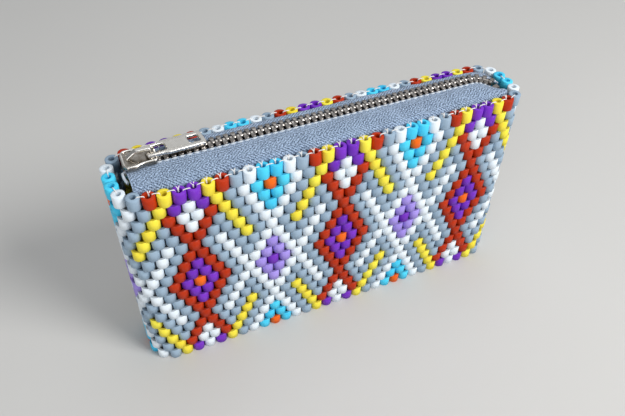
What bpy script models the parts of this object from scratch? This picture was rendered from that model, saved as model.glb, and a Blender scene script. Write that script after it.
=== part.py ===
"""Beaded zip pouch: a flat tube of stitched tube beads with a bottom panel and a metal zip in its mouth.

Metres, +Z up. X runs along the pouch, the front face looks along -Y, and the
origin is on the table under the middle of the pouch.
"""
import math

import bmesh
import bpy
from mathutils import Vector

MM = 0.001
CLEARANCE = 0.3 * MM            # air between pieces that touch on the real pouch
WALL_CURVE = 0.3 * MM           # the flats of the inner wall cut this far inside its curve

# beads and the way they are stitched
BEAD_DIA = 5.0 * MM
BEAD_PITCH = 5.1 * MM           # along a round
ROW_PITCH = 5.1 * MM            # from one round to the next
BEADS_ROUND = 72
ROWS = 18
MOTIF_WIDTH = 12                # beads from one red diamond to the next
MIDDLE_ROW = 9
FLOWER_ROWS = 8                 # rounds from the middle one to a blue flower's middle
DOT_ROWS = 7                    # and to a white dot's middle
GROOVE_DEPTH = 1.5 * MM         # how far the groove between two beads goes in
HOLE_WIDTH = 2.3 * MM
HOLE_DEPTH = 3.6 * MM
BEAD_SHOULDER = 0.45 * MM       # rounded end of a bead

# shape of the pouch, measured on the line through the bead axes
MOUTH_HALF_DEPTH = 12.2 * MM
MOUTH_BOW = 2.0 * MM            # how far the middle of each mouth edge swells
CORNER_RADIUS = 8.0 * MM
ROUND_TURN = 0.25               # beads that the pattern's middle lies off the middle of the front
BASE_ROWS = 4                   # rows of beads in the bottom panel
BASE_THICK = 5.0 * MM

# zip
TAPE_THICK = 0.8 * MM
TAPE_ROOM = 3.5 * MM            # from the inside of the mouth's end to the end of the tape
TAPE_FLAT = 3.4 * MM            # level strip beside the teeth that the slider runs over
TAPE_TURN_DOWN = 6.0 * MM
TAPE_DROP = 1.9 * MM            # how far the tape's sewn edge lies below the level of the teeth
TAPE_STATIONS = 24
BEND_STATIONS = 8
CHAIN_Y = 2.9 * MM
CHAIN_RISE = 1.5 * MM           # middle of the teeth above the rim of the pouch
CHAIN_INSIDE = 6.5 * MM         # first tooth, from the wide end of the closed slider
CHAIN_BEND_ROOM = 14.3 * MM     # from the inside of the mouth's end to the start of the bend
CHAIN_BEND_RADIUS = 8.8 * MM
CHAIN_BEND_ANGLE = math.radians(72.0)
CHAIN_DIP = 1.6 * MM            # how far the bent end of the chain dips into the mouth
TOOTH_PITCH = 2.73 * MM
TOOTH_THICK = 1.0 * MM
TOOTH_HEIGHT = 2.4 * MM
TOOTH_REACH = 0.8 * MM          # tip past the middle of the chain
TOOTH_ROOT = 1.5 * MM           # edge of the cord, from the middle of the chain
CHAIN_HALF = 2.9 * MM

# slider
SLIDER_ROOM = 3.0 * MM          # from the inside of the mouth's end to the closed slider
SLIDER_LENGTH = 12.4 * MM
SLIDER_WIDE_HALF = 5.0 * MM
SLIDER_NARROW_HALF = 4.3 * MM
SLIDER_PLATE = 1.1 * MM
SLIDER_PLAY = 0.35 * MM         # between teeth and slider
SLIDER_SLOT = 1.5 * MM          # gap the tape runs through
POST_LENGTH = 4.0 * MM
POST_HALF = 1.3 * MM
BRIDGE_WIDTH = 2.0 * MM
BRIDGE_THICK = 1.0 * MM
BRIDGE_OPEN = 1.9 * MM
BRIDGE_LEFT = 1.8 * MM          # from the wide end of the slider
BRIDGE_LENGTH = 9.2 * MM

# pull
PULL_PIN_R = 0.5 * MM
PULL_ARM_WIDTH = 1.3 * MM
PULL_EYE_LENGTH = 6.9 * MM
PULL_LENGTH = 21.3 * MM
PULL_WIDTH = 8.0 * MM
PULL_THICK = 1.2 * MM
PULL_WINDOW_LENGTH = 4.2 * MM
PULL_WINDOW_WIDTH = 4.2 * MM
PULL_RIM = 1.7 * MM             # metal between the window and the end of the pull
PULL_SKEW = math.radians(7.2)   # the pull lies a little askew, towards the back rim

# stops
STOP_LENGTH = 1.8 * MM
STOP_HEIGHT = 2.0 * MM
STOP_INSET = 0.6 * MM           # from the wide end of the slider when it is closed
END_STOP_LENGTH = 1.6 * MM

# values that follow from the ones above
HEIGHT = ROWS * ROW_PITCH
BEAD_R = BEAD_DIA / 2
BASE_HALF_DEPTH = BASE_ROWS * BEAD_PITCH / 2 + CLEARANCE + BEAD_R
ROUND_LENGTH = BEADS_ROUND * BEAD_PITCH
CORNER_ARC = CORNER_RADIUS * math.pi / 2
MOUTH_STRAIGHT = ROUND_LENGTH / 4 - CORNER_ARC - (MOUTH_HALF_DEPTH - CORNER_RADIUS)
BASE_STRAIGHT = ROUND_LENGTH / 4 - CORNER_ARC - (BASE_HALF_DEPTH - CORNER_RADIUS)
MOUTH_INSIDE = MOUTH_STRAIGHT + CORNER_RADIUS - BEAD_R
TAPE_END = MOUTH_INSIDE - TAPE_ROOM
SLIDER_LEFT = SLIDER_ROOM - MOUTH_INSIDE
CHAIN_START = SLIDER_LEFT + CHAIN_INSIDE
CHAIN_BEND_X = MOUTH_INSIDE - CHAIN_BEND_ROOM
CHAIN_Z = HEIGHT + CHAIN_RISE
SLIDER_RIGHT = SLIDER_LEFT + SLIDER_LENGTH
CHANNEL_HALF = CHAIN_HALF + SLIDER_PLAY
PLATE_INNER = TOOTH_HEIGHT / 2 + SLIDER_PLAY
PLATE_OUTER = PLATE_INNER + SLIDER_PLATE
TAPE_EDGE = CHAIN_HALF + CLEARANCE
BRIDGE_RIGHT = SLIDER_LEFT + BRIDGE_LEFT + BRIDGE_LENGTH
PIN_X = BRIDGE_RIGHT - BRIDGE_THICK - CLEARANCE - PULL_PIN_R
PIN_Z = CHAIN_Z + PLATE_OUTER + BRIDGE_OPEN / 2
ARM_OUTER = PULL_WIDTH / 2
ARM_INNER = ARM_OUTER - PULL_ARM_WIDTH
PULL_SLOPE = math.asin((PIN_Z - CHAIN_Z - TOOTH_HEIGHT / 2 - CLEARANCE - PULL_THICK / 2) / PULL_LENGTH)

COLOURS = {
    "white": (0.80, 0.84, 0.87),
    "grey": (0.30, 0.39, 0.48),
    "yellow": (0.86, 0.70, 0.05),
    "red": (0.56, 0.05, 0.01),
    "purple": (0.18, 0.04, 0.46),
    "lavender": (0.41, 0.33, 0.84),
    "blue": (0.07, 0.58, 0.90),
    "orange": (0.84, 0.17, 0.02),
}


def clear_scene():
    for item in list(bpy.data.objects):
        bpy.data.objects.remove(item, do_unlink=True)


def make_material(name, colour, roughness, metallic=0.0):
    material = bpy.data.materials.new(name)
    material.use_nodes = True
    shader = material.node_tree.nodes["Principled BSDF"]
    shader.inputs["Base Color"].default_value = (*colour, 1.0)
    shader.inputs["Roughness"].default_value = roughness
    shader.inputs["Metallic"].default_value = metallic
    material.diffuse_color = (*colour, 1.0)
    return material


def add_object(name, bm, materials, origin=(0, 0, 0), parent=None):
    """Turn bm, given in world metres, into an object whose origin is at origin."""
    bmesh.ops.recalc_face_normals(bm, faces=bm.faces)
    bmesh.ops.translate(bm, verts=bm.verts, vec=-Vector(origin))
    mesh = bpy.data.meshes.new(name)
    bm.to_mesh(mesh)
    bm.free()
    for material in materials:
        mesh.materials.append(material)
    item = bpy.data.objects.new(name, mesh)
    bpy.context.scene.collection.objects.link(item)
    item.location = origin
    if parent is not None:
        item.parent = parent
        item.location = Vector(origin) - parent.location
    return item


def prism(outline, low, high):
    """A closed body from a list of (x, y) corners, between two heights."""
    bm = bmesh.new()
    face = bm.faces.new([bm.verts.new((x, y, low)) for x, y in outline])
    top = bmesh.ops.extrude_face_region(bm, geom=[face])["geom"]
    bmesh.ops.translate(bm, verts=[v for v in top if isinstance(v, bmesh.types.BMVert)], vec=(0, 0, high - low))
    return bm


def side_prism(outline, left, right):
    """A closed body from a list of (x, z) corners, between two y values."""
    bm = bmesh.new()
    face = bm.faces.new([bm.verts.new((x, left, z)) for x, z in outline])
    far = bmesh.ops.extrude_face_region(bm, geom=[face])["geom"]
    bmesh.ops.translate(bm, verts=[v for v in far if isinstance(v, bmesh.types.BMVert)], vec=(0, right - left, 0))
    return bm


def helper_object(name, bm):
    item = add_object(name, bm, [])
    item.hide_render = True
    item.display_type = "WIRE"
    return item


def boolean(item, other, operation):
    modifier = item.modifiers.new(other.name, "BOOLEAN")
    modifier.operation = operation
    modifier.object = other
    modifier.solver = "EXACT"


def bead_colour(column, row):
    """Colour of a bead. column counts beads from a red diamond's middle, row counts rounds from the rim.

    Every motif is a diamond of rings in brick stitch: a step along a round or two rounds up is one ring out.
    """
    half = MOTIF_WIDTH / 2
    across = abs((column + half) % MOTIF_WIDTH - half)
    down = abs(row - MIDDLE_ROW)
    red_diamond = across + down / 2
    blue_flower = half - across + abs(down - FLOWER_ROWS) / 2
    lavender_diamond = half - across + down / 2
    white_dot = across + abs(down - DOT_ROWS) / 2
    if red_diamond <= 2:
        return ("orange", "purple", "red")[int(red_diamond)]
    if red_diamond == half and down >= 4:
        return "yellow"
    if across - down / 2 == -2:
        return "red"
    if blue_flower <= 2:
        return ("orange", "blue", "white")[int(blue_flower)]
    if lavender_diamond <= 2:
        return ("purple", "lavender", "white")[int(lavender_diamond)]
    if white_dot <= 1.5:
        return "white" if white_dot < 1 else "purple"
    if red_diamond == 4 and down <= 4:
        return "white"
    return "grey"


def half_depth(height):
    share = height / HEIGHT
    return BASE_HALF_DEPTH + (MOUTH_HALF_DEPTH - BASE_HALF_DEPTH) * share


def round_point(column, height):
    """Point on the line of bead axes: a rectangle with round corners, its long sides swollen at the mouth."""
    depth = half_depth(height)
    end = depth - CORNER_RADIUS
    straight = ROUND_LENGTH / 4 - CORNER_ARC - end
    column = (column + ROUND_TURN + BEADS_ROUND / 2) % BEADS_ROUND - BEADS_ROUND / 2
    along = abs(column) * BEAD_PITCH
    mirrored = along > ROUND_LENGTH / 4
    if mirrored:
        along = ROUND_LENGTH / 2 - along
    if along <= straight:
        x, y = along, -depth
    elif along <= straight + CORNER_ARC:
        angle = (along - straight) / CORNER_RADIUS
        x, y = straight + CORNER_RADIUS * math.sin(angle), -end - CORNER_RADIUS * math.cos(angle)
    else:
        x, y = straight + CORNER_RADIUS, -end + along - straight - CORNER_ARC
    y -= MOUTH_BOW * (1 - (x / (straight + CORNER_RADIUS)) ** 2) * height / HEIGHT
    return (x if column >= 0 else -x), (-y if mirrored else y)


def wall_point(column, height, out):
    """Point on the round moved outwards by out, at right angles to the wall."""
    x0, y0 = round_point(column - 0.02, height)
    x1, y1 = round_point(column + 0.02, height)
    x, y = round_point(column, height)
    length = math.hypot(x1 - x0, y1 - y0)
    return x + out * (y1 - y0) / length, y - out * (x1 - x0) / length


def inside_wall(column, height, inwards):
    """Point inside the tube, inwards from the line of bead axes. The inner wall runs straight from base to rim."""
    share = height / HEIGHT
    low, high = wall_point(column, 0.0, -inwards), wall_point(column, HEIGHT, -inwards)
    return tuple(a + (b - a) * share for a, b in zip(low, high))


def build_body(materials):
    """The stitched tube: one raised ridge for each bead, a groove between beads, and a hole in each rim bead."""
    bm = bmesh.new()
    names = list(materials)
    valley = BEAD_R - GROOVE_DEPTH
    steps = BEADS_ROUND * 2

    def vert(column, height, out):
        x, y = wall_point(column, height, out)
        return bm.verts.new((x, y, height))

    def seam_out(line, step):
        """The rim and the base are cut flat across the beads, so their beads stand out there."""
        if line == 0 and step % 2 == 1:
            return BEAD_R
        if line == ROWS and step % 2 == (0 if (ROWS - 1) % 2 else 1):
            return BEAD_R
        return valley

    seams = [[vert(step / 2, HEIGHT - line * ROW_PITCH, seam_out(line, step)) for step in range(steps)]
             for line in range(ROWS + 1)]
    for row in range(ROWS):
        top_z, low_z = HEIGHT - row * ROW_PITCH, HEIGHT - (row + 1) * ROW_PITCH
        first = 1 if row % 2 == 0 else 0
        for bead in range(BEADS_ROUND):
            step = 2 * bead + first
            left, right = (step - 1) % steps, (step + 1) % steps
            above, below = seams[row], seams[row + 1]
            ridge_top = above[step] if row == 0 else vert(step / 2, top_z - BEAD_SHOULDER, BEAD_R)
            ridge_low = below[step] if row == ROWS - 1 else vert(step / 2, low_z + BEAD_SHOULDER, BEAD_R)
            faces = [(above[left], below[left], ridge_low, ridge_top), (above[right], ridge_top, ridge_low, below[right])]
            if row > 0:
                faces += [(above[left], ridge_top, above[step]), (above[step], ridge_top, above[right])]
            if row < ROWS - 1:
                faces += [(below[left], below[step], ridge_low), (below[step], below[right], ridge_low)]
            slot = names.index(bead_colour(step / 2, row))
            for corners in faces:
                bm.faces.new(corners).material_index = slot

    inner_top = [vert(bead, HEIGHT, -BEAD_R) for bead in range(BEADS_ROUND)]
    inner_low = [vert(bead, 0.0, -BEAD_R) for bead in range(BEADS_ROUND)]
    grey = names.index("grey")
    for bead in range(BEADS_ROUND):
        after = (bead + 1) % BEADS_ROUND
        slot = names.index(bead_colour(bead + 0.5, 0))
        bm.faces.new((inner_top[bead], inner_top[after], inner_low[after], inner_low[bead])).material_index = grey
        low = seams[ROWS]
        bm.faces.new((low[2 * bead], low[2 * bead + 1], low[(2 * bead + 2) % steps], inner_low[after],
                      inner_low[bead])).material_index = grey
        add_rim_hole(bm, bead, slot, (seams[0][2 * bead], seams[0][2 * bead + 1], seams[0][(2 * bead + 2) % steps]),
                     inner_top[bead], inner_top[after])
    return add_object("beaded_body", bm, list(materials.values()))


def add_rim_hole(bm, bead, slot, outer, inner_left, inner_right):
    """Top of one rim bead with its square-drawn hole."""
    half = HOLE_WIDTH / 2
    cells = []
    for height in (HEIGHT, HEIGHT - HOLE_DEPTH):
        corners = []
        for side, out in ((-1, half), (1, half), (1, -half), (-1, -half)):
            x, y = wall_point(bead + 0.5 + side * half / BEAD_PITCH, HEIGHT, out)
            corners.append(bm.verts.new((x, y, height)))
        cells.append(corners)
    top, low = cells
    left, crown, right = outer
    faces = [(left, crown, top[0]), (crown, top[1], top[0]), (crown, right, top[1]),
             (right, inner_right, top[2], top[1]), (inner_right, inner_left, top[3], top[2]),
             (inner_left, left, top[0], top[3]), tuple(low)]
    faces += [(top[i], top[(i + 1) % 4], low[(i + 1) % 4], low[i]) for i in range(4)]
    for corners in faces:
        bm.faces.new(corners).material_index = slot


def base_row_half(far_side):
    """Half length of a row of the bottom panel whose far side lies at far_side, as whole beads."""
    radius = CORNER_RADIUS - BEAD_R - CLEARANCE - WALL_CURVE
    over = max(0.0, far_side - (BASE_HALF_DEPTH - CORNER_RADIUS))
    room = BASE_STRAIGHT + math.sqrt(max(0.0, radius ** 2 - over ** 2))
    return int(2 * room / BEAD_PITCH) * BEAD_PITCH / 2


def build_base(material):
    """The panel of beads that the first round was stitched to. It closes the bottom."""
    outline = []
    for row in range(BASE_ROWS):
        low = (row - BASE_ROWS / 2) * BEAD_PITCH
        reach = base_row_half(max(abs(low), abs(low + BEAD_PITCH)))
        for corner in ((reach, low), (reach, low + BEAD_PITCH)):
            if outline and outline[-1] == corner:
                outline.pop()
            else:
                outline.append(corner)
    outline += [(-x, y) for x, y in reversed(outline)]
    return add_object("base_panel", prism(outline, 0.0, BASE_THICK), [material])


def chain_length():
    return CHAIN_BEND_X - CHAIN_START + CHAIN_BEND_RADIUS * CHAIN_BEND_ANGLE


def chain_point(along, side, lift):
    """Point beside the zip's middle line: along it from the slider's end, to the back by side, up by lift."""
    straight = CHAIN_BEND_X - CHAIN_START
    if along <= straight:
        return Vector((CHAIN_START + along, CHAIN_Y + side, CHAIN_Z + lift))
    turn = (along - straight) / CHAIN_BEND_RADIUS
    reach = CHAIN_BEND_RADIUS + side
    dip = CHAIN_DIP * (turn / CHAIN_BEND_ANGLE) ** 2
    return Vector((CHAIN_BEND_X + reach * math.sin(turn), CHAIN_Y - CHAIN_BEND_RADIUS + reach * math.cos(turn),
                   CHAIN_Z - dip + lift))


def build_teeth(name, side, offset, material):
    """One half of the chain: its cord with a row of teeth that reach past the middle line."""
    bm = bmesh.new()
    length = chain_length()
    count = int((length - offset - TOOTH_THICK) / TOOTH_PITCH) + 1
    starts = [offset + tooth * TOOTH_PITCH for tooth in range(count)]
    marks = sorted({0.0, length, *starts, *(start + TOOTH_THICK for start in starts)})

    def line(reach, lift):
        return [bm.verts.new(chain_point(along, -side * reach, lift)) for along in marks]

    low, high = -TOOTH_HEIGHT / 2, TOOTH_HEIGHT / 2
    cord = [line(-CHAIN_HALF, low), line(-CHAIN_HALF, high), line(-TOOTH_ROOT, high), line(-TOOTH_ROOT, low)]
    for i in range(len(marks) - 1):
        tooth = marks[i] in starts
        for k in range(4):
            if k == 2 and tooth:
                continue
            a, b = cord[k], cord[(k + 1) % 4]
            bm.faces.new((a[i], a[i + 1], b[i + 1], b[i]))
        if tooth:
            root = [cord[2][i], cord[2][i + 1], cord[3][i + 1], cord[3][i]]
            ends = ((marks[i], high), (marks[i + 1], high), (marks[i + 1], low), (marks[i], low))
            tip = [bm.verts.new(chain_point(along, -side * TOOTH_REACH, lift)) for along, lift in ends]
            bm.faces.new(tip)
            for k in range(4):
                bm.faces.new((root[k], root[(k + 1) % 4], tip[(k + 1) % 4], tip[k]))
    for i in (0, -1):
        bm.faces.new([cord[k][i] for k in range(4)])
    return add_object(name, bm, [material])


def rim_column(x_wanted, back):
    """Column whose inner wall point lies at x_wanted, on the front or the back of the mouth."""
    low, high = (0.0, BEADS_ROUND / 4)
    for _ in range(40):
        middle = (low + high) / 2
        if wall_point(middle - ROUND_TURN, HEIGHT, -BEAD_R)[0] < abs(x_wanted):
            low = middle
        else:
            high = middle
    column = low if x_wanted >= 0 else -low
    return (BEADS_ROUND / 2 - column if back else column) - ROUND_TURN


def tape_edge_along(x):
    """Distance along the chain line whose tape edge is nearest to x, past both ends too."""
    straight = CHAIN_BEND_X - CHAIN_START
    if x <= CHAIN_BEND_X:
        return x - CHAIN_START
    share = (x - CHAIN_BEND_X) / (TAPE_END - CHAIN_BEND_X)
    return straight + share * CHAIN_BEND_RADIUS * CHAIN_BEND_ANGLE


def build_tape(name, side, material):
    """Woven tape from the teeth to the rim, then turned down inside the wall where it is sewn."""
    bm = bmesh.new()
    sections = []
    straight = [-TAPE_END + (CHAIN_BEND_X + TAPE_END) * i / TAPE_STATIONS for i in range(TAPE_STATIONS)]
    bent = [CHAIN_BEND_X + (TAPE_END - CHAIN_BEND_X) * i / BEND_STATIONS for i in range(BEND_STATIONS + 1)]
    for x in straight + bent:
        column = rim_column(x, side > 0)
        edge = chain_point(tape_edge_along(x), side * TAPE_EDGE, 0.0)
        inwards = BEAD_R + CLEARANCE + WALL_CURVE + TAPE_THICK / 2
        bend_z = CHAIN_Z - TAPE_DROP
        hem_z = bend_z - TAPE_TURN_DOWN
        bend = Vector((*inside_wall(column, bend_z, inwards), bend_z))
        hem = Vector((*inside_wall(column, hem_z, inwards), hem_z))
        across = Vector((bend.x - edge.x, bend.y - edge.y, 0.0))
        flat_share = min(0.6, TAPE_FLAT / max(across.length, TAPE_FLAT))
        flat = edge + across * flat_share
        inward = across.normalized() * -TAPE_THICK / 2
        up = Vector((0, 0, TAPE_THICK / 2))
        outward = -inward
        sections.append([bm.verts.new(p) for p in (
            edge + up, flat + up, bend + outward + up, hem + outward,
            hem + inward, bend + inward - up, flat - up, edge - up)])
    for before, after in zip(sections, sections[1:]):
        for i in range(8):
            k = (i + 1) % 8
            bm.faces.new((before[i], before[k], after[k], after[i]))
    bm.faces.new(sections[0])
    bm.faces.new(list(reversed(sections[-1])))
    bmesh.ops.triangulate(bm, faces=bm.faces[:])
    return add_object(name, bm, [material])


def slider_outline(grow=0.0):
    """Outline of the slider's plates, wide end to the left."""
    stations = [(0.0, 0.62, SLIDER_WIDE_HALF), (0.09, 0.94, SLIDER_WIDE_HALF), (0.30, 1.0, SLIDER_WIDE_HALF),
                (0.55, 1.0, SLIDER_NARROW_HALF), (0.93, 1.0, SLIDER_NARROW_HALF), (1.0, 0.86, SLIDER_NARROW_HALF)]
    front = [(SLIDER_LEFT + share * SLIDER_LENGTH, CHAIN_Y - part * half - grow) for share, part, half in stations]
    back = [(x, 2 * CHAIN_Y - y) for x, y in reversed(front)]
    return front + back


def build_slider(material, body):
    """Two plates with turned edges, joined by the post at the wide end, and the bridge for the pull."""
    slider = add_object("slider_body", prism(slider_outline(), CHAIN_Z - PLATE_OUTER, CHAIN_Z + PLATE_OUTER),
                        [material], body.location, body)
    far = 2 * SLIDER_LENGTH
    channel = [(SLIDER_LEFT - far, CHAIN_Y - CHANNEL_HALF), (SLIDER_RIGHT + far, CHAIN_Y - CHANNEL_HALF),
               (SLIDER_RIGHT + far, CHAIN_Y + CHANNEL_HALF), (SLIDER_LEFT - far, CHAIN_Y + CHANNEL_HALF)]
    slot = [(x, CHAIN_Y + (y - CHAIN_Y) * 4) for x, y in channel]
    cut_channel = helper_object("slider_channel_cut", prism(channel, CHAIN_Z - PLATE_INNER, CHAIN_Z + PLATE_INNER))
    cut_slot = helper_object("slider_slot_cut", prism(slot, CHAIN_Z - SLIDER_SLOT / 2, CHAIN_Z + SLIDER_SLOT / 2))
    sunk = 0.2 * MM
    post_left = SLIDER_LEFT + sunk
    post = [(post_left, CHAIN_Y - POST_HALF), (post_left + POST_LENGTH / 2, CHAIN_Y - POST_HALF),
            (post_left + POST_LENGTH, CHAIN_Y - POST_HALF / 4), (post_left + POST_LENGTH, CHAIN_Y + POST_HALF / 4),
            (post_left + POST_LENGTH / 2, CHAIN_Y + POST_HALF), (post_left, CHAIN_Y + POST_HALF)]
    add_post = helper_object("slider_post_add", prism(post, CHAIN_Z - PLATE_INNER - SLIDER_PLATE / 2,
                                                      CHAIN_Z + PLATE_INNER + SLIDER_PLATE / 2))
    left, right = SLIDER_LEFT + BRIDGE_LEFT, BRIDGE_RIGHT
    foot = CHAIN_Z + PLATE_OUTER - SLIDER_PLATE / 2
    under = CHAIN_Z + PLATE_OUTER + BRIDGE_OPEN
    over = under + BRIDGE_THICK
    corner = BRIDGE_THICK
    arch = [(left, foot), (left + BRIDGE_THICK, foot), (left + BRIDGE_THICK, under - corner / 2),
            (left + BRIDGE_THICK + corner, under), (right - BRIDGE_THICK - corner / 4, under),
            (right - BRIDGE_THICK, under - corner / 4), (right - BRIDGE_THICK, foot), (right, foot),
            (right, over - corner), (right - corner, over), (left + 2 * corner, over), (left, over - corner)]
    add_bridge = helper_object("slider_bridge_add", side_prism(arch, CHAIN_Y - BRIDGE_WIDTH / 2,
                                                               CHAIN_Y + BRIDGE_WIDTH / 2))
    boolean(slider, cut_channel, "DIFFERENCE")
    boolean(slider, cut_slot, "DIFFERENCE")
    boolean(slider, add_post, "UNION")
    boolean(slider, add_bridge, "UNION")
    return slider


def pull_path(point):
    """Skew the pull about its pin, then let it slope down to the teeth it lies on."""
    x, y = point
    turned = x * math.cos(PULL_SKEW) - y * math.sin(PULL_SKEW), x * math.sin(PULL_SKEW) + y * math.cos(PULL_SKEW)
    return turned if x > PULL_EYE_LENGTH / 2 else (x, y)


def build_pull(material, joint):
    """Flat pull: an eye that straddles the bridge, its pin under the bridge, and a window near the far end."""
    bm = bmesh.new()
    half = PULL_WIDTH / 2
    round_off = 1.2 * MM
    outline = [(-PULL_PIN_R, -ARM_OUTER), (PULL_EYE_LENGTH, -half), (PULL_LENGTH - round_off, -half),
               (PULL_LENGTH, -half + round_off)]
    outline += [(x, -y) for x, y in reversed(outline)]
    eye = [(PULL_PIN_R, -ARM_INNER), (PULL_EYE_LENGTH, -ARM_INNER), (PULL_EYE_LENGTH, ARM_INNER),
           (PULL_PIN_R, ARM_INNER)]
    window_end = PULL_LENGTH - PULL_RIM
    window_start = window_end - PULL_WINDOW_LENGTH
    half_window = PULL_WINDOW_WIDTH / 2
    window = [(window_start, -half_window), (window_end, -half_window), (window_end, half_window),
              (window_start, half_window)]
    edges = []
    for loop in (outline, eye, window):
        verts = [bm.verts.new((*pull_path(point), -PULL_THICK / 2)) for point in loop]
        edges += [bm.edges.new((verts[i], verts[(i + 1) % len(verts)])) for i in range(len(verts))]
    bmesh.ops.triangle_fill(bm, edges=edges, use_beauty=True)
    solid = bmesh.ops.extrude_face_region(bm, geom=bm.faces[:])["geom"]
    bmesh.ops.translate(bm, verts=[v for v in solid if isinstance(v, bmesh.types.BMVert)], vec=(0, 0, PULL_THICK))
    for vert in bm.verts:
        if vert.co.x < PULL_PIN_R * 1.01 and abs(vert.co.y) < ARM_OUTER * 1.01:
            vert.co.z *= 2 * PULL_PIN_R / PULL_THICK
        x, z = vert.co.x, vert.co.z
        vert.co.x = x * math.cos(PULL_SLOPE) + z * math.sin(PULL_SLOPE)
        vert.co.z = z * math.cos(PULL_SLOPE) - x * math.sin(PULL_SLOPE)
        vert.co += joint.location
    return add_object("pull_tab", bm, [material], joint.location, joint)


def block(name, centre, size, material):
    """Small stop clamped on the tape, with its corners taken off."""
    x, y, z = centre
    length, width, height = (value / 2 for value in size)
    cut = min(length, width) * 0.35
    outline = [(x - length + cut, y - width), (x + length - cut, y - width), (x + length, y - width + cut),
               (x + length, y + width - cut), (x + length - cut, y + width), (x - length + cut, y + width),
               (x - length, y + width - cut), (x - length, y - width + cut)]
    return add_object(name, prism(outline, z - height, z + height), [material])


def build_stops(material):
    """Two stops at the closed end, one on each tape, and one across the chain at the other end."""
    x = SLIDER_LEFT + STOP_INSET + STOP_LENGTH / 2
    inner, outer = POST_HALF + CLEARANCE, TAPE_EDGE - CLEARANCE
    for name, side in (("front_top_stop", -1), ("back_top_stop", 1)):
        block(name, (x, CHAIN_Y + side * (inner + outer) / 2, CHAIN_Z), (STOP_LENGTH, outer - inner, STOP_HEIGHT),
              material)
    bm = bmesh.new()
    start = chain_length() + CLEARANCE
    rings = []
    for lift in (-TOOTH_HEIGHT / 2, TOOTH_HEIGHT / 2):
        corners = [(start, -TOOTH_ROOT), (start + END_STOP_LENGTH, -TOOTH_ROOT),
                   (start + END_STOP_LENGTH, TOOTH_ROOT), (start, TOOTH_ROOT)]
        rings.append([bm.verts.new(chain_point(along, side, lift)) for along, side in corners])
    low, high = rings
    bm.faces.new(list(reversed(low)))
    bm.faces.new(high)
    for i in range(4):
        bm.faces.new((low[i], low[(i + 1) % 4], high[(i + 1) % 4], high[i]))
    add_object("bottom_stop", bm, [material])


def empty(name, location, parent=None):
    item = bpy.data.objects.new(name, None)
    bpy.context.scene.collection.objects.link(item)
    item.location = location
    if parent is not None:
        item.parent = parent
        item.location = Vector(location) - parent.location
    return item


def main():
    clear_scene()
    beads = {name: make_material("bead_" + name, colour, 0.42) for name, colour in COLOURS.items()}
    tape = make_material("zip_tape", (0.33, 0.38, 0.45), 0.9)
    teeth = make_material("zip_teeth", (0.52, 0.51, 0.49), 0.32, 1.0)
    plate = make_material("nickel_plate", (0.74, 0.73, 0.70), 0.2, 1.0)

    build_body(beads)
    build_base(beads["grey"])
    build_tape("front_tape", -1, tape)
    build_tape("back_tape", 1, tape)
    build_teeth("front_teeth", -1, 0.0, teeth)
    build_teeth("back_teeth", 1, TOOTH_PITCH / 2, teeth)
    build_stops(plate)

    slide = empty("slider_joint", ((SLIDER_LEFT + SLIDER_RIGHT) / 2, CHAIN_Y, CHAIN_Z))
    build_slider(plate, slide)
    hinge = bpy.data.objects.new("pull_joint", None)
    bpy.context.scene.collection.objects.link(hinge)
    hinge.location = (PIN_X, CHAIN_Y, PIN_Z)
    build_pull(plate, hinge)


main()
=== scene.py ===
import math
import random

import bmesh
import bpy
from mathutils import Matrix, Vector


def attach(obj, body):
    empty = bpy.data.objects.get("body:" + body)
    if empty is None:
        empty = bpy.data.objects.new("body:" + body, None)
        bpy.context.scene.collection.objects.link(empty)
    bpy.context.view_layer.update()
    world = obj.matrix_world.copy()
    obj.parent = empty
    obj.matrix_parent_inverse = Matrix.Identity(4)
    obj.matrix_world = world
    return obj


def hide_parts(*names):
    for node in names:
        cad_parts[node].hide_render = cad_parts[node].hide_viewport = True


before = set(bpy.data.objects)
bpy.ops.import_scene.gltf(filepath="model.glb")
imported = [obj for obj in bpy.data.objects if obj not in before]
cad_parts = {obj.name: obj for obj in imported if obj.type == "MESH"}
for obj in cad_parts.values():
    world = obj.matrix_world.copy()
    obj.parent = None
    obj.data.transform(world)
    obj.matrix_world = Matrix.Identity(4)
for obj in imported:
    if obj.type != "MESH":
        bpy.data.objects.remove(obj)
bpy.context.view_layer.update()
print("frame loaded")

mm = 0.001
rng = random.Random(27)

# The pouch's own shape, as the solids have it. Its middle lies a quarter bead off the first bead.
pouch = {
    "beadsRound": 72, "rows": 18, "pitch": 5.1 * mm, "rowPitch": 5.1 * mm, "beadRadius": 2.5 * mm,
    "mouthHalfDepth": 12.2 * mm, "baseHalfDepth": 13.0 * mm, "bow": 2.0 * mm,
    "corner": 8.0 * mm, "turn": 0.25,
    "motifWidth": 12, "middleRow": 9, "flowerRows": 8, "dotRows": 7,
    # beside the slider the front of the mouth stands out a little, fading towards the floor
    "bulge": 2.2 * mm, "bulgeX": -62 * mm, "bulgeWidth": 13 * mm, "bulgeFade": 5,
}
pouch["height"] = pouch["rows"] * pouch["rowPitch"]
pouch["quarter"] = pouch["beadsRound"] * pouch["pitch"] / 4
pouch["arc"] = pouch["corner"] * math.pi / 2
pouch["inside"] = (pouch["quarter"] - pouch["arc"] - pouch["mouthHalfDepth"] + 2 * pouch["corner"]
                   - pouch["beadRadius"])

zipLine = {
    "y": 2.9 * mm, "z": pouch["height"] + 1.5 * mm, "start": 9.5 * mm - pouch["inside"],
    "bendX": pouch["inside"] - 14.3 * mm,
    "bendRadius": 8.8 * mm, "bendAngle": math.radians(72), "dip": 0.8 * mm,
    "half": 2.9 * mm, "toothPitch": 2.73 * mm,
}


# Small tools

def deselect():
    if bpy.context.object and bpy.context.object.mode != "OBJECT":
        bpy.ops.object.mode_set(mode="OBJECT")
    bpy.ops.object.select_all(action="DESELECT")


def pick(*items):
    deselect()
    for item in items:
        item.select_set(True)
    bpy.context.view_layer.objects.active = items[0]


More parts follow.
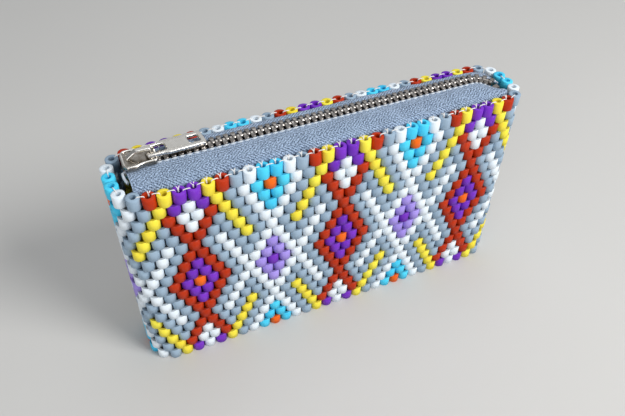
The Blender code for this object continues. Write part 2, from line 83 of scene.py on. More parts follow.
def editSelect(item, mode, test):
    # opens item in edit mode with only the parts selected that pass the test
    pick(item)
    bpy.ops.object.mode_set(mode="EDIT")
    bpy.ops.mesh.select_mode(type=mode)
    bpy.ops.mesh.select_all(action="DESELECT")
    bm = bmesh.from_edit_mesh(item.data)
    parts = {"VERT": bm.verts, "EDGE": bm.edges, "FACE": bm.faces}[mode]
    for part in parts:
        if test(part):
            part.select_set(True)
    bm.select_flush_mode()
    bmesh.update_edit_mesh(item.data)


def objectMode():
    bpy.ops.object.mode_set(mode="OBJECT")


def applyModifiers(item):
    pick(item)
    for modifier in list(item.modifiers):
        bpy.ops.object.modifier_apply(modifier=modifier.name)


def addBevel(item, width, segments, angle=30):
    modifier = item.modifiers.new("bevel", "BEVEL")
    modifier.width = width
    modifier.segments = segments
    modifier.limit_method = "ANGLE"
    modifier.angle_limit = math.radians(angle)
    modifier.harden_normals = False


def smooth(item, angle=40):
    pick(item)
    bpy.ops.object.shade_smooth_by_angle(angle=math.radians(angle))


def crispEnds(item):
    # broad faces keep their own shading, so only the small bevels turn the light
    modifier = item.modifiers.new("crisp", "WEIGHTED_NORMAL")
    modifier.keep_sharp = True
    modifier.weight = 50
    applyModifiers(item)


def placeAtOrigin(item):
    pick(item)
    bpy.ops.object.transform_apply(location=True, rotation=True, scale=True)


def joinAll(items, name):
    pick(*items)
    if len(items) > 1:
        bpy.ops.object.join()
    joined = bpy.context.view_layer.objects.active
    joined.name = name
    joined.data.name = name
    placeAtOrigin(joined)
    return joined


def meshFromCurve(name, curve):
    item = bpy.data.objects.new(name, curve)
    bpy.context.scene.collection.objects.link(item)
    pick(item)
    bpy.ops.object.convert(target="MESH")
    return bpy.context.object


def finishPiece(item, material, body, stands=()):
    item.data.materials.clear()
    item.data.materials.append(material)
    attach(item, body)
    if stands:
        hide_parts(*stands)


# Shader maths

class Wire:
    def __init__(self, shader, socket):
        self.shader = shader
        self.socket = socket

    def maths(self, operation, *others):
        values = {i: other for i, other in enumerate((self, *others))}
        return self.shader.add("ShaderNodeMath", {"operation": operation}, values)

    def __add__(self, other): return self.maths("ADD", other)
    def __radd__(self, other): return self.maths("ADD", other)
    def __sub__(self, other): return self.maths("SUBTRACT", other)
    def __rsub__(self, other): return (self * -1) + other
    def __mul__(self, other): return self.maths("MULTIPLY", other)
    def __rmul__(self, other): return self.maths("MULTIPLY", other)
    def __truediv__(self, other): return self.maths("DIVIDE", other)
    def __pow__(self, other): return self.maths("POWER", other)
    def __mod__(self, other): return self.maths("FLOORED_MODULO", other)
    def __abs__(self): return self.maths("ABSOLUTE")

    def clamp(self):
        return self.shader.add("ShaderNodeClamp", {}, {0: self})


class Shader:
    def __init__(self, name):
        self.material = bpy.data.materials.new(name)
        self.material.use_nodes = True
        self.tree = self.material.node_tree
        self.principled = self.tree.nodes["Principled BSDF"]
        self.coords = self.add("ShaderNodeTexCoord", {}, {}, "Object")

    def add(self, kind, settings, inputs, output=0):
        node = self.tree.nodes.new(kind)
        for key, value in settings.items():
            setattr(node, key, value)
        for key, value in inputs.items():
            self.feed(node.inputs[key], value)
        return Wire(self, node.outputs[output])

    def feed(self, socket, value):
        if isinstance(value, Wire):
            self.tree.links.new(value.socket, socket)
        elif hasattr(value, "__len__") and socket.type == "RGBA":
            socket.default_value = (*value, 1.0) if len(value) == 3 else value
        else:
            socket.default_value = value

    def mix(self, first, second, factor):
        node = self.tree.nodes.new("ShaderNodeMix")
        node.data_type = "RGBA"
        self.feed(node.inputs[0], factor)
        self.feed(node.inputs[6], first)
        self.feed(node.inputs[7], second)
        return Wire(self, node.outputs[2])

    def noise(self, scale, detail=3.0, roughness=0.55, vector=None):
        return self.add("ShaderNodeTexNoise", {}, {"Vector": vector or self.coords, "Scale": scale,
                                                   "Detail": detail, "Roughness": roughness})

    def split(self, axis):
        node = self.tree.nodes.new("ShaderNodeSeparateXYZ")
        self.tree.links.new(self.coords.socket, node.inputs[0])
        return Wire(self, node.outputs[axis])

    def stretched(self, x, y, z, vector=None):
        return self.add("ShaderNodeMapping", {}, {"Vector": vector or self.coords, "Scale": (x, y, z)})

    def bump(self, height, distance, strength):
        normal = self.add("ShaderNodeBump", {},
                          {"Height": height, "Distance": distance, "Strength": strength})
        self.feed(self.principled.inputs["Normal"], normal)

    def set(self, **values):
        names = {"colour": "Base Color", "rough": "Roughness", "metal": "Metallic",
                 "sheen": "Sheen Weight", "sheenRough": "Sheen Roughness",
                 "specular": "Specular IOR Level"}
        for key, value in values.items():
            self.feed(self.principled.inputs[names[key]], value)


# Shape of the pouch

def halfDepth(height):
    narrowing = pouch["mouthHalfDepth"] - pouch["baseHalfDepth"]
    return pouch["baseHalfDepth"] + narrowing * height / pouch["height"]


def roundPoint(column, height):
    # on the line of bead axes: a rectangle with round corners, its long sides swollen at the mouth
    depth = halfDepth(height)
    end = depth - pouch["corner"]
    straight = pouch["quarter"] - pouch["arc"] - end
    around = pouch["beadsRound"]
    column = (column + pouch["turn"] + around / 2) % around - around / 2
    along = abs(column) * pouch["pitch"]
    back = along > pouch["quarter"]
    if back:
        along = 2 * pouch["quarter"] - along
    if along <= straight:
        x, y = along, -depth
    elif along <= straight + pouch["arc"]:
        angle = (along - straight) / pouch["corner"]
        x, y = straight + pouch["corner"] * math.sin(angle), -end - pouch["corner"] * math.cos(angle)
    else:
        x, y = straight + pouch["corner"], along - end - straight - pouch["arc"]
    y -= pouch["bow"] * (1 - (x / (straight + pouch["corner"])) ** 2) * height / pouch["height"]
    x, y = (x if column >= 0 else -x), (-y if back else y)
    if y < 0:
        beside = math.exp(-((x - pouch["bulgeX"]) / pouch["bulgeWidth"]) ** 2)
        y -= pouch["bulge"] * beside * (height / pouch["height"]) ** pouch["bulgeFade"]
    return x, y


def wallNormal(column, height):
    x0, y0 = roundPoint(column - 0.02, height)
    x1, y1 = roundPoint(column + 0.02, height)
    return Vector((y1 - y0, x0 - x1, 0)).normalized()


def wallPoint(column, height, out):
    x, y = roundPoint(column, height)
    return Vector((x, y, height)) + wallNormal(column, height) * out


def chainPoint(along, side, lift):
    # beside the middle line of the teeth, with a bend to the front at the far end
    straight = zipLine["bendX"] - zipLine["start"]
    if along <= straight:
        return Vector((zipLine["start"] + along, zipLine["y"] + side, zipLine["z"] + lift))
    turn = (along - straight) / zipLine["bendRadius"]
    reach = zipLine["bendRadius"] + side
    dip = zipLine["dip"] * (turn / zipLine["bendAngle"]) ** 2
    return Vector((zipLine["bendX"] + reach * math.sin(turn),
                   zipLine["y"] - zipLine["bendRadius"] + reach * math.cos(turn),
                   zipLine["z"] - dip + lift))


def chainTurn(along):
    straight = zipLine["bendX"] - zipLine["start"]
    return max(0.0, (along - straight) / zipLine["bendRadius"])


chainLength = zipLine["bendX"] - zipLine["start"] + zipLine["bendRadius"] * zipLine["bendAngle"]


# Beads

beads = {
    "radius": 2.44 * mm, "hole": 1.25 * mm, "length": 4.98 * mm, "round": 0.2 * mm,
    "sides": 12, "rimSides": 18,
    # how unevenly they sit: tilt in degrees and its spread, shift, and share of size
    "tilt": 1.5, "rimTilt": 3.2, "tiltSpread": 0.55, "shift": 0.08 * mm, "size": 0.012,
    # the beads in each row of the bottom panel, and how high they lie
    "baseRows": (29, 31, 31, 29), "baseLift": 0.12 * mm,
}
beadColours = {
    "white": {"colour": (0.795, 0.87, 0.935), "deep": (0.75, 0.84, 0.92), "rough": 0.42},
    "grey": {"colour": (0.33, 0.445, 0.565), "deep": (0.255, 0.36, 0.475), "rough": 0.42},
    "yellow": {"colour": (0.92, 0.82, 0.075), "deep": (0.86, 0.63, 0.022), "rough": 0.38},
    "red": {"colour": (0.50, 0.034, 0.003), "deep": (0.34, 0.016, 0.0015), "rough": 0.42},
    "purple": {"colour": (0.20, 0.034, 0.56), "deep": (0.11, 0.017, 0.38), "rough": 0.40},
    "lavender": {"colour": (0.39, 0.30, 0.80), "deep": (0.29, 0.21, 0.70), "rough": 0.40},
    "blue": {"colour": (0.085, 0.68, 0.93), "deep": (0.03, 0.48, 0.84), "rough": 0.38},
    "orange": {"colour": (0.90, 0.15, 0.008), "deep": (0.76, 0.09, 0.004), "rough": 0.38},
}


def beadColour(column, row):
    # the pattern as distances, in beads, from the middles of its diamonds and flowers
    half = pouch["motifWidth"] / 2
    across = abs((column + half) % pouch["motifWidth"] - half)
    down = abs(row - pouch["middleRow"])
    redDiamond = across + down / 2
    blueFlower = half - across + abs(down - pouch["flowerRows"]) / 2
    lavenderDiamond = half - across + down / 2
    whiteDot = across + abs(down - pouch["dotRows"]) / 2
    if redDiamond <= 2:
        return ("orange", "purple", "red")[int(redDiamond)]
    if redDiamond == half and down >= 4:
        return "yellow"
    if across - down / 2 == -2:
        return "red"
    if blueFlower <= 2:
        return ("orange", "blue", "white")[int(blueFlower)]
    if lavenderDiamond <= 2:
        return ("purple", "lavender", "white")[int(lavenderDiamond)]
    if whiteDot <= 1.5:
        return "white" if whiteDot < 1 else "purple"
    if redDiamond == 4 and down <= 4:
        return "white"
    return "grey"


def beadMaterial(name, look):
    shader = Shader(name + "Plastic")
    tone = shader.add("ShaderNodeAttribute", {"attribute_name": "tone"}, {}, "Fac")
    grain = shader.noise(900, 2)
    cloud = shader.noise(160, 3)
    share = (0.45 + 0.55 * tone + (cloud - 0.5) * 0.7).clamp()
    base = shader.mix(look["deep"], look["colour"], share)
    # pale scuffs on the outside; painted shade darkens the ends and bores that sit in the gaps
    scuffs = shader.noise(260, 5, 0.7, shader.stretched(1, 1, 0.22))
    worn = ((scuffs - 0.60) * 5).clamp() * 0.12
    base = shader.mix(base, tuple(0.5 + 0.5 * c for c in look["colour"]), worn)
    # painted shade: the ends and bores of the wall's beads are darkened as if shaded by the beads
    # around them
    gap = shader.add("ShaderNodeAttribute", {"attribute_name": "gap"}, {}, "Fac")
    base = shader.mix(base, tuple(0.3 * c for c in look["deep"]), gap * 0.62)
    rough = look["rough"] + (grain - 0.5) * 0.16 + worn * 0.5 + tone * 0.05
    shader.set(colour=base, rough=rough, specular=0.2)
    lines = shader.noise(700, 3, 0.6, shader.stretched(1, 1, 0.12))
    shader.bump(grain * 0.5 + lines * 0.7 + cloud * 0.8, 0.00008, 0.55)
    return shader.material


def makeBead(name, sides, segments, endShade):
    # a tube bead: a cylinder bored through, its rims rounded, its ends and bore darkened with painted
    # shade by the given share
    deselect()
    bpy.ops.mesh.primitive_cylinder_add(vertices=sides, radius=beads["radius"], depth=beads["length"],
                                        end_fill_type="NGON")
    bead = bpy.context.object
    bead.name = name
    half = beads["length"] / 2
    editSelect(bead, "FACE", lambda f: abs(f.normal.z) > 0.9)
    bpy.ops.mesh.inset(thickness=beads["radius"] - beads["hole"], use_individual=True)
    bpy.ops.mesh.bridge_edge_loops()
    objectMode()
    outer = beads["radius"] * 0.98
    rimStart = outer * math.cos(math.pi / sides)
    editSelect(bead, "EDGE", lambda e: all(
        abs(abs(v.co.z) - half) < 1e-6 and v.co.xy.length > rimStart for v in e.verts))
    bpy.ops.mesh.bevel(offset=beads["round"], segments=segments, affect="EDGES")
    bpy.ops.mesh.select_all(action="SELECT")
    bpy.ops.mesh.normals_make_consistent(inside=False)
    objectMode()
    smooth(bead, 60)
    crispEnds(bead)
    # painted shade marked on the end and bore faces, standing for the shade of the beads around them
    gap = bead.data.attributes.new("gap", "FLOAT", "FACE")
    gap.data.foreach_set("value", [endShade * (face.center.xy.length < outer * 0.93)
                                   for face in bead.data.polygons])
    return bead


def copyPart(master, place, tone):
    # every copy has a mesh and a tone of its own
    part = master.copy()
    part.data = master.data.copy()
    values = part.data.attributes.new("tone", "FLOAT", "POINT")
    values.data.foreach_set("value", [tone] * len(part.data.vertices))
    part.matrix_world = place
    bpy.context.scene.collection.objects.link(part)
    return part


def jiggle(tilt):
    turn = math.radians(tilt)
    size = 1 + rng.uniform(-1, 1) * beads["size"]
    return (Matrix.Translation([rng.uniform(-1, 1) * beads["shift"] for _ in range(3)])
            @ Matrix.Rotation(rng.gauss(0, beads["tiltSpread"]) * turn, 4, "X")
            @ Matrix.Rotation(rng.gauss(0, beads["tiltSpread"]) * turn, 4, "Y")
            @ Matrix.Rotation(rng.uniform(0, math.tau), 4, "Z") @ Matrix.Diagonal((size, size, 1, 1)))


def beadPlace(column, row):
    centre = pouch["height"] - (row + 0.5) * pouch["rowPitch"]
    reach = pouch["rowPitch"] / 2
    middle = wallPoint(column, centre, 0)
    above = wallPoint(column, min(centre + reach, pouch["height"]), 0)
    up = (above - wallPoint(column, centre - reach, 0)).normalized()
    out = wallNormal(column, centre)
    along = up.cross(out).normalized()
    out = along.cross(up)
    turn = Matrix((along, out, up)).transposed().to_4x4()
    return Matrix.Translation(middle) @ turn @ jiggle(beads["rimTilt"] if row == 0 else beads["tilt"])


def buildBeads():
    # the wall's beads get the full painted shade on their ends and bores, the rim's beads none
    plain = makeBead("plainBead", beads["sides"], 1, 1.0)
    rim = makeBead("rimBead", beads["rimSides"], 2, 0.0)
    groups = {name: [] for name in beadColours}
    for row in range(pouch["rows"]):
        for n in range(pouch["beadsRound"]):
            column = n + (0.5 if row % 2 == 0 else 0)
            master = rim if row == 0 else plain
            tone = min(1, max(0, rng.gauss(0.55, 0.25)))
            groups[beadColour(column, row)].append(copyPart(master, beadPlace(column, row), tone))
    # the bottom panel's beads lie across the pouch
    base = []
    lying = Matrix.Rotation(math.pi / 2, 4, "X")
    for line, count in enumerate(beads["baseRows"]):
        for n in range(count):
            x = (n - (count - 1) / 2) * pouch["pitch"]
            y = (line - (len(beads["baseRows"]) - 1) / 2) * pouch["pitch"]
            middle = Matrix.Translation((x, y, beads["radius"] + beads["baseLift"]))
            base.append(copyPart(plain, middle @ lying @ jiggle(beads["tilt"]), rng.random()))
    for name, group in groups.items():
        piece = joinAll(group, name + "Beads")
        finishPiece(piece, beadMaterial(name, beadColours[name]), "pouch", ["beaded_body"])
    piece = joinAll(base, "baseBeads")
    finishPiece(piece, bpy.data.materials["greyPlastic"], "pouch", ["base_panel"])
    bpy.data.objects.remove(plain)
    bpy.data.objects.remove(rim)


buildBeads()
print("beads strung")


# Zip tapes

tape = {
    "end": pouch["inside"] - 3.5 * mm, "thick": 0.55 * mm, "flat": 3.4 * mm, "flatShare": 0.6,
    "turnDown": 6.0 * mm, "drop": 1.9 * mm, "underTeeth": 0.5 * mm, "offWall": 0.3 * mm,
    "hemOff": 0.2 * mm, "crown": 0.35 * mm, "pucker": 0.22 * mm,
    # the front tape goes on into the corner where the chain ends
    "cornerReach": 2.2 * mm,
    "along": 260, "across": 26,
    "light": (0.485, 0.635, 0.86), "dark": (0.032, 0.06, 0.115),
    # in mm: the twill's ribs, the chevron bands across the tape, and the single yarns
    "rib": 1.45, "band": 4.2, "yarn": 0.5,
}


def rimColumn(x, back):
    low, high = 0.0, pouch["beadsRound"] / 4
    for _ in range(40):
        middle = (low + high) / 2
        if wallPoint(middle - pouch["turn"], pouch["height"], -pouch["beadRadius"]).x < abs(x):
            low = middle
        else:
            high = middle
    column = low if x >= 0 else -low
    return (pouch["beadsRound"] / 2 - column if back else column) - pouch["turn"]


def insideWall(column, height, inwards):
    share = height / pouch["height"]
    point = wallPoint(column, 0.0, -inwards).lerp(wallPoint(column, pouch["height"], -inwards), share)
    point.z = height
    return point


def cutCorners(points, share):
    # every inner corner gives way to two points beside it
    cut = [p for a, b in zip(points, points[1:]) for p in (a.lerp(b, share), a.lerp(b, 1 - share))]
    return [points[0]] + cut + [points[-1]]


def tapeLine(x, side):
    # across the tape: level beside the teeth, down to the rim, then down inside the wall
    column = rimColumn(x, side > 0)
    straight = zipLine["bendX"] - zipLine["start"]
    along = x - zipLine["start"]
    if x > zipLine["bendX"]:
        share = (x - zipLine["bendX"]) / (tape["end"] - zipLine["bendX"])
        along = straight + share * zipLine["bendRadius"] * zipLine["bendAngle"]
    edge = chainPoint(along, side * (zipLine["half"] - tape["underTeeth"]), 0)
    inwards = pouch["beadRadius"] + tape["offWall"] + tape["thick"] / 2
    bendZ = zipLine["z"] - tape["drop"]
    bend = insideWall(column, bendZ, inwards)
    hem = insideWall(column, bendZ - tape["turnDown"], inwards + tape["hemOff"])
    across = Vector((bend.x - edge.x, bend.y - edge.y, 0))
    level = (tape["flat"] + tape["underTeeth"]) / max(across.length, tape["flat"])
    flat = edge + across * min(tape["flatShare"], level)
    crown = flat.lerp(bend, 0.5) + Vector((0, 0, tape["crown"]))
    line = [edge, flat, crown, bend, hem]
    for _ in range(3):
        line = cutCorners(line, 0.25)
    return line


def evenly(line, count):
    # the line's points at equal steps, and its length
    lengths = [0.0]
    for a, b in zip(line, line[1:]):
        lengths.append(lengths[-1] + (b - a).length)
    points = []
    k = 0
    for i in range(count + 1):
        want = lengths[-1] * i / count
        while k < len(line) - 2 and lengths[k + 1] < want:
            k += 1
        span = max(lengths[k + 1] - lengths[k], 1e-9)
        points.append(line[k].lerp(line[k + 1], min(1, (want - lengths[k]) / span)))
    return points, lengths[-1]


def tapeMaterial():
    shader = Shader("herringboneTape")
    uv = shader.add("ShaderNodeUVMap", {"uv_map": "weave"}, {})
    split = shader.tree.nodes.new("ShaderNodeSeparateXYZ")
    shader.tree.links.new(uv.socket, split.inputs[0])
    along, across = Wire(shader, split.outputs[0]), Wire(shader, split.outputs[1])
    wander = shader.noise(0.5, 3, 0.6, uv) - 0.5
    band = ((across + wander * 0.8) / (2 * tape["band"])) % 1.0
    zigzag = abs(band - 0.5) * 2 * tape["band"] * 1.15
    rib = (abs((((along + zigzag + wander * 1.6) / tape["rib"]) % 1.0) - 0.5) * 2) ** 1.2
    fineBand = (across / (2 * tape["yarn"] * 2)) % 1.0
    yarn = abs((((along + abs(fineBand - 0.5) * 4 * tape["yarn"]) / tape["yarn"]) % 1.0) - 0.5) * 2
    cross = abs(((across / 0.42) % 1.0) - 0.5) * 2
    fibre = shader.noise(7.0, 3, 0.7, uv)
    speck = shader.noise(1.9, 2, 0.6, uv)
    patch = shader.noise(0.12, 3, 0.5, uv)
    lightness = (0.46 + (rib - 0.45) * 0.52 + (speck - 0.5) * 3.0 + (yarn - 0.5) * 0.25
                 + (fibre - 0.5) * 0.7 + (patch - 0.5) * 0.4)
    shader.set(colour=shader.mix(tape["dark"], tape["light"], lightness.clamp()),
               rough=0.86 + (fibre - 0.5) * 0.1, sheen=0.25, sheenRough=0.5, specular=0.25)
    shader.bump(rib * 0.9 + yarn * 0.4 + cross * 0.25 + fibre * 0.3, 0.0002, 0.9)
    return shader.material


def buildTape(name, side, node, material):
    deselect()
    bpy.ops.mesh.primitive_grid_add(x_subdivisions=tape["along"],
                                    y_subdivisions=tape["across"], size=1)
    piece = bpy.context.object
    piece.name = name
    piece.data.uv_layers[0].name = "weave"
    lines = []
    widths = []
    far = tape["end"] + (tape["cornerReach"] if side < 0 else 0)
    length = far + tape["end"]
    for i in range(tape["along"] + 1):
        x = -tape["end"] + length * i / tape["along"]
        points, width = evenly(tapeLine(x, side), tape["across"])
        lines.append(points)
        widths.append(width)
    cell = {}
    for vertex in piece.data.vertices:
        i = round((vertex.co.x + 0.5) * tape["along"])
        j = round((vertex.co.y + 0.5) * tape["across"])
        cell[vertex.index] = (i, j)
        point = lines[i][j].copy()
        share = j / tape["across"]
        # the stitches pucker it a little, unevenly along its length
        gather = math.sin(math.pi * min(1, share / 0.75)) * tape["pucker"]
        wave = math.sin(point.x / pouch["pitch"] * math.pi + side)
        point.z += gather * wave * (0.4 + 0.6 * math.sin(point.x * 41))
        vertex.co = point
    weave = piece.data.uv_layers["weave"].data
    for loop in piece.data.loops:
        i, j = cell[loop.vertex_index]
        weave[loop.index].uv = (length / mm * i / tape["along"], widths[i] / mm * j / tape["across"])
    area = sum(face.area for face in piece.data.polygons)
    if side > 0:
        pick(piece)
        bpy.ops.object.mode_set(mode="EDIT")
        bpy.ops.mesh.select_all(action="SELECT")
        bpy.ops.mesh.flip_normals()
        objectMode()
    solid = piece.modifiers.new("thickness", "SOLIDIFY")
    solid.thickness = tape["thick"]
    solid.offset = 0
    applyModifiers(piece)
    smooth(piece, 50)
    finishPiece(piece, material, "pouch", [node])
    min(area, max(widths) * length)


tapeLook = tapeMaterial()
buildTape("frontTape", -1, "front_tape", tapeLook)
buildTape("backTape", 1, "back_tape", tapeLook)
print("tapes woven")


# Teeth

teeth = {
    # in mm, across from the cord to the tip: place, width along the zip, height
    "stations": [(-2.9, 1.3, 1.6), (-2.7, 1.75, 2.35), (-1.45, 1.8, 2.4), (-1.1, 1.35, 2.2),
                 (-0.5, 1.28, 2.1), (-0.3, 1.32, 2.5), (0.4, 1.32, 2.55), (0.8, 1.0, 1.7)],
    "thick": 1.0 * mm, "bevel": 0.2 * mm, "lean": 0.012,
    # in mm from the middle, where the painted shade on the leg starts
    "legFrom": 0.9,
}


def metalMaterial(name, colour, dark, rough, grainScale, wear, bumpStrength,
                  recessShade=None, legShade=0.0):
    shader = Shader(name)
    cloud = shader.noise(420, 4, 0.6)
    fine = shader.noise(grainScale, 3, 0.7)
    scratch = shader.noise(900, 4, 0.65, shader.stretched(0.08, 1, 1))
    stain = ((cloud - 0.5) * 3.2 + 0.5).clamp()
    base = shader.mix(dark, colour, (stain * wear + (1 - wear)).clamp())
    if recessShade:
        # painted shade and a painted dark brown reflection below a height, in the recesses
        height = shader.split(2)
        low = (1 - (height - recessShade["from"]) / (recessShade["to"] - recessShade["from"])).clamp()
        base = shader.mix(base, recessShade["colour"], (low * (0.75 + (cloud - 0.5) * 1.2)).clamp())
    if legShade:
        # painted shade: the clamped ends of the teeth are darkened as if in shadow
        leg = shader.add("ShaderNodeAttribute", {"attribute_name": "leg"}, {}, "Fac")
        base = shader.mix(base, dark, leg * legShade)
    shader.set(colour=base, metal=1.0, rough=rough + (fine - 0.5) * 0.1 + (1 - stain) * wear * 0.18)
    shader.bump(fine * 0.3 + scratch * 0.7, 0.00002, bumpStrength)
    return shader.material


def makeTooth():
    deselect()
    bpy.ops.mesh.primitive_cube_add(size=1)
    tooth = bpy.context.object
    tooth.name = "tooth"
    first, second = teeth["stations"][0], teeth["stations"][1]
    for vertex in tooth.data.vertices:
        place, width, height = first if vertex.co.y < 0 else second
        vertex.co = (math.copysign(width / 2, vertex.co.x) * mm, place * mm,
                     math.copysign(height / 2, vertex.co.z) * mm)
    before = second
    for station in teeth["stations"][2:]:
        tip = before[0] * mm
        step = (station[0] - before[0]) * mm
        editSelect(tooth, "FACE", lambda f: f.normal.y > 0.95
                   and abs(f.calc_center_median().y - tip) < 1e-5)
        bpy.ops.mesh.extrude_region_move(TRANSFORM_OT_translate={"value": (0, step, 0)})
        bpy.ops.transform.resize(value=(station[1] / before[1], 1, station[2] / before[2]))
        objectMode()
        before = station
    addBevel(tooth, teeth["bevel"], 1, 40)
    applyModifiers(tooth)
    smooth(tooth, 60)
    crispEnds(tooth)
    leg = tooth.data.attributes.new("leg", "FLOAT", "POINT")
    leg.data.foreach_set("value", [min(1, max(0, -vertex.co.y / mm - teeth["legFrom"]))
                                   for vertex in tooth.data.vertices])
    return tooth


def buildTeeth(name, side, offset, node, master, material):
    copies = []
    count = int((chainLength - offset - teeth["thick"]) / zipLine["toothPitch"]) + 1
    for k in range(count):
        along = offset + k * zipLine["toothPitch"] + teeth["thick"] / 2
        turn = chainTurn(along)
        place = Matrix.Translation(chainPoint(along, 0, 0)) @ Matrix.Rotation(-turn, 4, "Z")
        place = place @ Matrix.Rotation(rng.gauss(0, teeth["lean"]), 4, "Z")
        if side > 0:
            place = place @ Matrix.Rotation(math.pi, 4, "Z")
        copies.append(copyPart(master, place, rng.random()))
    piece = joinAll(copies, name)
    finishPiece(piece, material, "pouch", [node])


cord = {
    "steps": 400, "radius": 0.5 * mm, "swell": 0.5, "side": 2.85 * mm, "before": 5.5 * mm,
    # the turned-over end of the front tape, in mm from the mouth's left end at the zip's height
    "tail": [(4.2, 0.2, -0.3), (2.3, -0.4, -0.9), (2.4, -2.6, -1.2), (3.1, -4.9, -1.8)],
    "tailRadius": 1.15, "dark": (0.30, 0.36, 0.44), "light": (0.80, 0.86, 0.93),
}


def buildCord(name, side, shift, material):
    # the cord that the teeth are clamped on swells out between them
    deselect()
    curve = bpy.data.curves.new(name, "CURVE")
    curve.dimensions = "3D"
    curve.bevel_depth = cord["radius"]
    curve.bevel_resolution = 2
    curve.use_fill_caps = True
    spline = curve.splines.new("POLY")
    spline.points.add(cord["steps"])
    for i, point in enumerate(spline.points):
        along = -cord["before"] + (chainLength + cord["before"]) * i / cord["steps"]
        point.co = (*chainPoint(along, side * cord["side"], 0), 1)
        point.radius = 1 + cord["swell"] * math.cos(math.tau * (along - shift) / zipLine["toothPitch"])
    if side < 0:
        tail = curve.splines.new("POLY")
        tail.points.add(len(cord["tail"]) - 1)
        for point, (x, y, z) in zip(tail.points, cord["tail"]):
            point.co = (x * mm - pouch["inside"], y * mm, z * mm + zipLine["z"], 1)
            point.radius = cord["tailRadius"]
    item = meshFromCurve(name, curve)
    smooth(item, 60)
    finishPiece(item, material, "pouch")


def cordMaterial():
    shader = Shader("cordYarn")
    twist = shader.add("ShaderNodeTexWave", {"wave_type": "BANDS", "bands_direction": "DIAGONAL"},
                       {"Vector": shader.coords, "Scale": 900, "Distortion": 1.5, "Detail": 2.0})
    wave = shader.noise(1500, 3)
    lightness = ((twist * 0.6 + wave * 0.7) - 0.05).clamp()
    shader.set(colour=shader.mix(cord["dark"], cord["light"], lightness), rough=0.9, sheen=0.2)
    shader.bump(twist + wave * 0.4, 0.0001, 0.8)
    return shader.material


# the legs of the teeth get painted shade through legShade
toothMetal = metalMaterial("antiqueTeeth", (0.66, 0.62, 0.585), (0.17, 0.155, 0.145),
                           0.28, 2600, 0.75, 0.4, legShade=0.75)
nickel = metalMaterial("nickelPlate", (0.84, 0.815, 0.77), (0.62, 0.59, 0.54),
                       0.24, 900, 0.35, 0.05)
sliderTop = zipLine["z"] + 2.65 * mm
# the casting's recess below its rim gets painted shade and a painted brown reflection
castNickel = metalMaterial("castNickel", (0.88, 0.855, 0.81), (0.64, 0.61, 0.56),
                           0.22, 900, 0.35, 0.05,
                           {"from": sliderTop - 0.40 * mm, "to": sliderTop - 0.12 * mm,
                            "colour": (0.20, 0.165, 0.125)})
master = makeTooth()
buildTeeth("frontTeeth", -1, 0.0, "front_teeth", master, toothMetal)
buildTeeth("backTeeth", 1, zipLine["toothPitch"] / 2, "back_teeth", master, toothMetal)
bpy.data.objects.remove(master)
yarn = cordMaterial()
buildCord("frontCord", -1, teeth["thick"] / 2, yarn)
buildCord("backCord", 1, (teeth["thick"] + zipLine["toothPitch"]) / 2, yarn)
for node in ("front_top_stop", "back_top_stop", "bottom_stop"):
    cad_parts[node].data.materials.clear()
    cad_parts[node].data.materials.append(toothMetal)
print("teeth set")


# Slider and pull

slider = {
    "left": 3.0 * mm - pouch["inside"], "length": 12.4 * mm,
    "wideHalf": 5.5 * mm, "narrowHalf": 4.4 * mm,
    "plate": 1.1 * mm, "plateInner": 1.55 * mm, "channelHalf": 3.25 * mm, "slot": 1.5 * mm,
    "round": 0.3 * mm, "post": 4.0 * mm, "postHalf": 1.3 * mm, "rimWidth": 1.05 * mm,
    "rimRound": 0.42 * mm, "recess": 0.42 * mm,
    "bridgeLeft": 1.8 * mm, "bridgeLength": 9.2 * mm, "bridgeWidth": 2.1 * mm,
    "bridgeThick": 1.0 * mm, "bridgeOpen": 1.9 * mm, "bridgeRise": 0.36,
    # from the nose to the other end: share of the length, share of the half width, which half
    "outline": [(0.0, 0.60, "wideHalf"), (0.09, 0.97, "wideHalf"), (0.32, 1.0, "wideHalf"),
                (0.56, 1.0, "narrowHalf"), (0.93, 1.0, "narrowHalf"), (1.0, 0.80, "narrowHalf")],
}
pull = {
    "pinRadius": 0.5 * mm, "arm": 1.3 * mm, "armOuter": 3.4 * mm, "eye": 6.9 * mm,
    "length": 21.3 * mm, "width": 8.0 * mm, "thick": 1.2 * mm,
    "window": 4.2 * mm, "windowWidth": 4.2 * mm, "rim": 1.7 * mm,
    "skew": math.radians(7.2), "round": 0.32 * mm,
}
pull["pinX"] = (slider["left"] + slider["bridgeLeft"] + slider["bridgeLength"]
                - slider["bridgeThick"] - 0.8 * mm)
pull["pinZ"] = zipLine["z"] + slider["plateInner"] + slider["plate"] + slider["bridgeOpen"] / 2
pull["slope"] = math.asin((pull["pinZ"] - zipLine["z"] - 2.1 * mm) / pull["length"])


def roundedLoop(corners, radius, steps=5):
    # corner points (x, y) with every corner turned into an arc
    points = []
    for before, corner, after in zip(corners[-1:] + corners[:-1], corners,
                                     corners[1:] + corners[:1]):
        corner = Vector(corner)
        a, b = (Vector(before) - corner), (Vector(after) - corner)
        cut = min(radius, a.length * 0.48, b.length * 0.48)
        a, b = corner + a.normalized() * cut, corner + b.normalized() * cut
        for i in range(steps + 1):
            t = i / steps
            points.append(a * (1 - t) ** 2 + corner * 2 * t * (1 - t) + b * t ** 2)
    return points


def plateFrom(name, loops, thick, rounding):
    # a flat plate with its edges rounded, its middle at height 0
    curve = bpy.data.curves.new(name, "CURVE")
    curve.dimensions = "2D"
    curve.fill_mode = "BOTH"
    curve.extrude = thick / 2 - rounding
    curve.bevel_depth = rounding
    curve.bevel_resolution = 2
    curve.offset = -rounding
    for loop in loops:
        spline = curve.splines.new("POLY")
        spline.points.add(len(loop) - 1)
        for point, place in zip(spline.points, loop):
            point.co = (place[0], place[1], 0, 1)
        spline.use_cyclic_u = True
    plate = meshFromCurve(name, curve)
    bpy.ops.object.mode_set(mode="EDIT")
    bpy.ops.mesh.select_all(action="SELECT")
    bpy.ops.mesh.remove_doubles(threshold=0.000005)
    bpy.ops.mesh.normals_make_consistent(inside=False)
    objectMode()
    return plate


